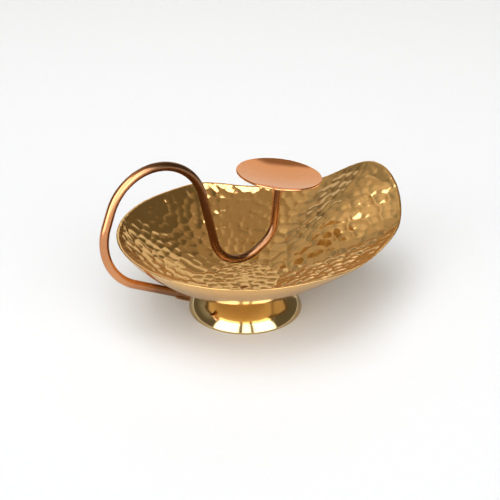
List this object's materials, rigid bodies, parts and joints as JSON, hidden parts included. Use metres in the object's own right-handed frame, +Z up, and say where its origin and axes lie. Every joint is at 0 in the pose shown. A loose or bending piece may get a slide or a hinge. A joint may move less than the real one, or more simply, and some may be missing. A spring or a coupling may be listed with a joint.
{
  "type": "diya oil lamp",
  "caption": "Beaten brass oil lamp bowl with a raised spout on a spun foot, and a bent copper rod that is its handle and holds a small dish over the flame.",
  "frame": {"origin": "centre of the foot's base, on the surface that the lamp stands on", "axes": "+Z up, +X from the foot's centre towards the spout, so XZ is the plane of symmetry and the handle is on the -X side"},
  "size_m": [0.1605, 0.1248, 0.086],
  "materials": {
    "brass_bowl": "beaten inside, smooth and polished outside",
    "brass_foot": "spun and polished",
    "braze": "dull brazed fillet",
    "copper_rod": "polished copper, slightly worn",
    "copper_dish": "satin polished copper"
  },
  "bodies": {
    "root": {"bowl": "brass_bowl", "foot": "brass_foot", "foot_braze": "braze", "handle_rod": "copper_rod", "handle_braze": "braze", "dish": "copper_dish", "dish_braze": "braze"}
  },
  "joints": []
}
